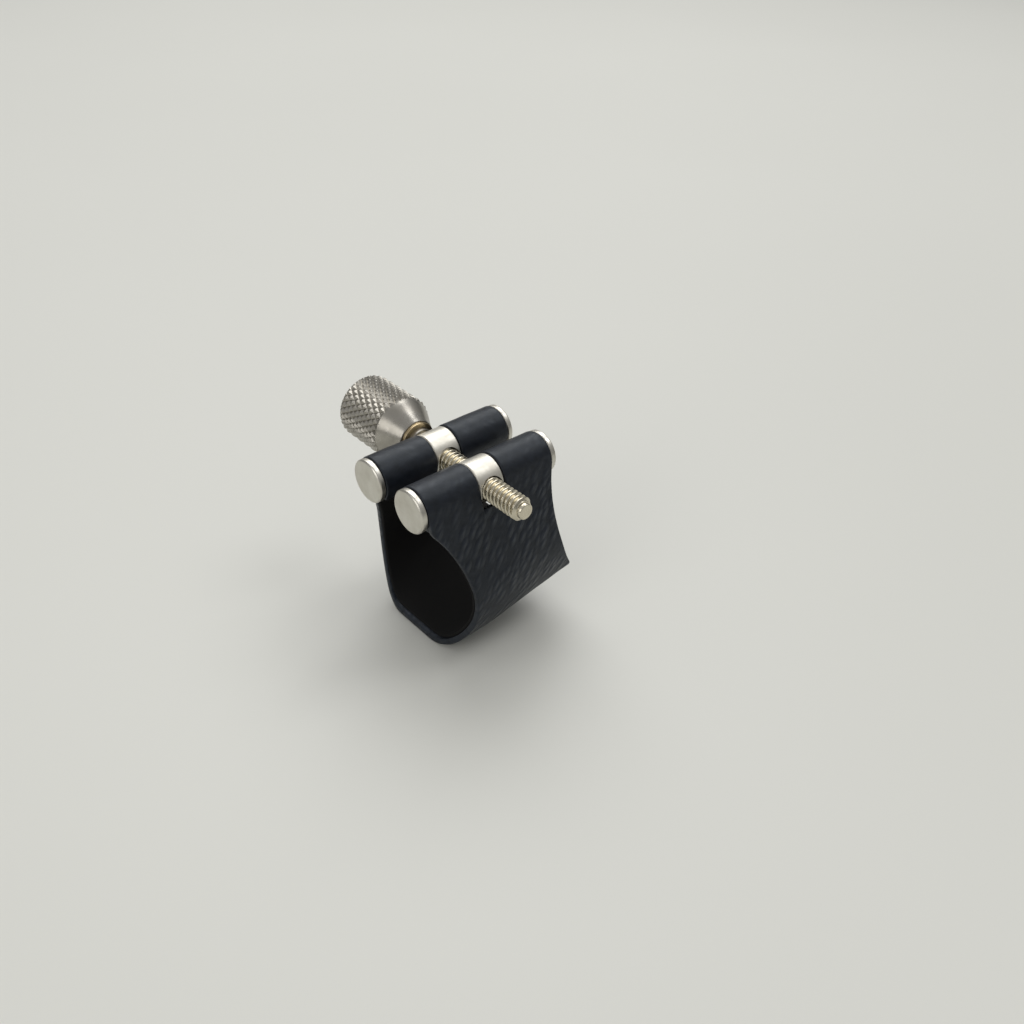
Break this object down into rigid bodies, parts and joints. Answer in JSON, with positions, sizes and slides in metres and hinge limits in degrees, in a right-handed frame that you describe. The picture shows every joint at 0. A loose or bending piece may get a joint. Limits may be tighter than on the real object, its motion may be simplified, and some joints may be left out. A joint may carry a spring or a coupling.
{
  "type": "saxophone ligature",
  "caption": "Leather-band saxophone ligature with a D-shaped seat, looped sides on two turned metal posts, and a knurled thumbscrew that draws them together.",
  "frame": {"origin": "on the mouthpiece axis, half way along the two clamp posts", "axes": "+X along the mouthpiece axis to its tip, +Y along the thumbscrew to its knob, +Z from the mouthpiece to the posts"},
  "size_m": [0.0247, 0.0367, 0.03],
  "materials": {
    "skin": "satin",
    "lining": "matte",
    "nickel": "satin",
    "screw": "satin",
    "brass": "polished"
  },
  "bodies": {
    "band": {"leather_band": "skin", "lining": "lining"},
    "near_clamp": {"near_loops": "skin", "near_barrel": "nickel", "near_cap_rear": "nickel", "near_cap_front": "nickel"},
    "far_clamp": {"far_loops": "skin", "far_barrel": "nickel", "far_cap_rear": "nickel", "far_cap_front": "nickel"},
    "thumbscrew": {"thumb_knob": "nickel", "screw_rod": "screw", "brass_ring": "brass"}
  },
  "joints": [
    {"name": "near_slide", "type": "slide", "parent": "band", "child": "near_clamp", "axis": [0, 1, 0], "range_m": [-0.0015, 0.00112]},
    {"name": "far_slide", "type": "slide", "parent": "band", "child": "far_clamp", "axis": [0, -1, 0], "range_m": [-0.0015, 0.00112]},
    {"name": "thumbscrew_turn", "type": "hinge", "parent": "far_clamp", "child": "thumbscrew", "pos_m": [0, 0, 0.0145], "axis": [0, -1, 0], "range_deg": [-1445, 1085]}
  ],
  "couplings": [
    {"joint": "far_slide", "follows": "near_slide", "ratio": 1},
    {"joint": "thumbscrew_turn", "follows": "near_slide", "rad_per_m": 16755}
  ]
}
